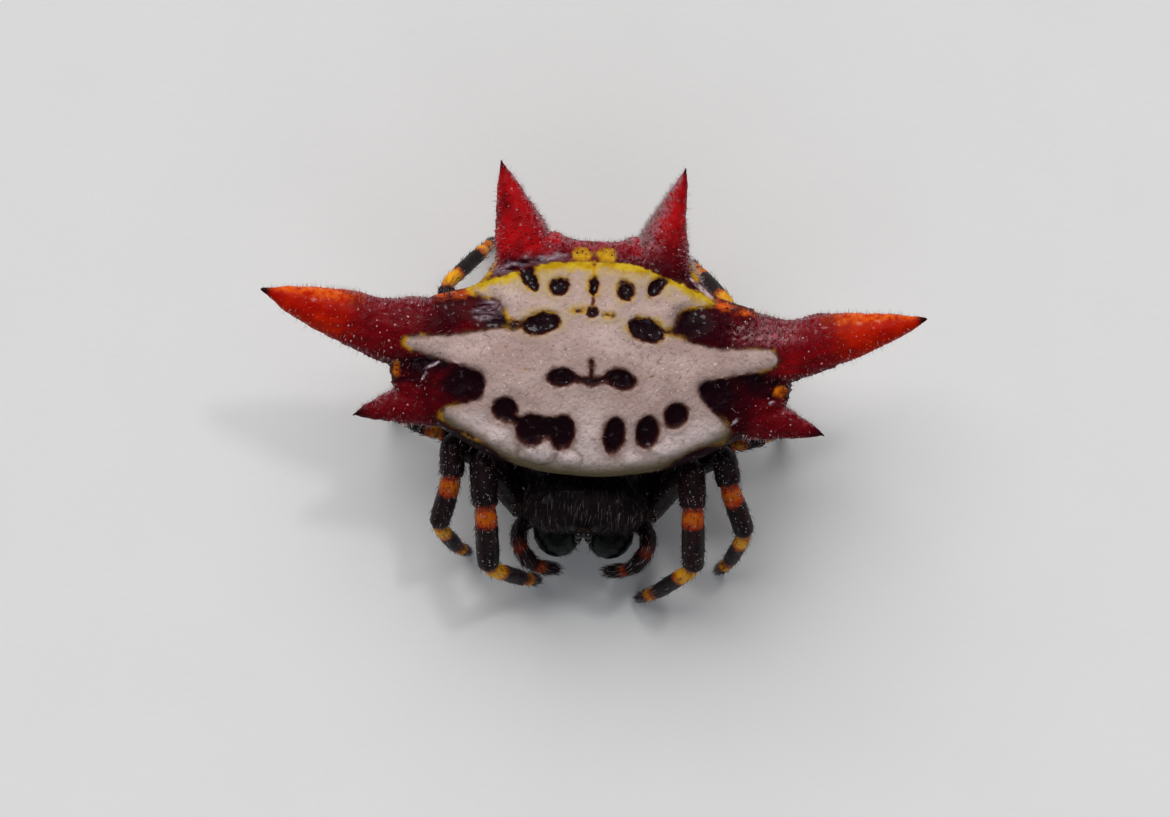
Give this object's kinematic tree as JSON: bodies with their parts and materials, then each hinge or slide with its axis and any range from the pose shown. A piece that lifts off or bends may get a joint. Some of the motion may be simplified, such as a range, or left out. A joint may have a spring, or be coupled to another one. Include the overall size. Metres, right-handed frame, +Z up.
{
  "type": "spiny orb weaver",
  "caption": "Life-size still model of a spiny orb weaver standing on its legs, with a wide, flat, pitted back plate, a belly cone and thorn-like spines round its margin.",
  "frame": {"origin": "on the floor, under the middle of the animal's own box", "axes": "+Z up through the back, -Y toward the head, +Y toward the rear, +X toward the animal's own left"},
  "size_m": [0.0128, 0.0086, 0.0043],
  "materials": {
    "abdomen_shell": "hard satin shell, off-white plate with black pits, crimson to orange spines and a yellow rim",
    "belly_brown": "dark brown shell with fine hairs",
    "carapace_black": "black satin shell with silvery lying hairs",
    "jaw_black": "smooth greenish-black gloss",
    "eye_black": "polished black lenses",
    "leg_black": "black-brown satin shell with red-orange and yellow-orange rings and short bristles"
  },
  "bodies": {
    "root": {"abdomen": "abdomen_shell", "spinnerets": "belly_brown", "carapace": "carapace_black", "pedicel": "carapace_black", "sternum": "belly_brown", "chelicera_left": "jaw_black", "chelicera_right": "jaw_black", "eyes_middle": "eye_black", "eyes_left": "eye_black", "eyes_right": "eye_black", "palp_left": "leg_black", "palp_right": "leg_black", "leg_1_left_femur": "leg_black", "leg_1_left_tibia": "leg_black", "leg_1_left_foot": "leg_black", "leg_1_right_femur": "leg_black", "leg_1_right_tibia": "leg_black", "leg_1_right_foot": "leg_black", "leg_2_left_femur": "leg_black", "leg_2_left_tibia": "leg_black", "leg_2_left_foot": "leg_black", "leg_2_right_femur": "leg_black", "leg_2_right_tibia": "leg_black", "leg_2_right_foot": "leg_black", "leg_3_left_femur": "leg_black", "leg_3_left_tibia": "leg_black", "leg_3_left_foot": "leg_black", "leg_3_right_femur": "leg_black", "leg_3_right_tibia": "leg_black", "leg_3_right_foot": "leg_black", "leg_4_left_femur": "leg_black", "leg_4_left_tibia": "leg_black", "leg_4_left_foot": "leg_black", "leg_4_right_femur": "leg_black", "leg_4_right_tibia": "leg_black", "leg_4_right_foot": "leg_black"}
  },
  "joints": []
}
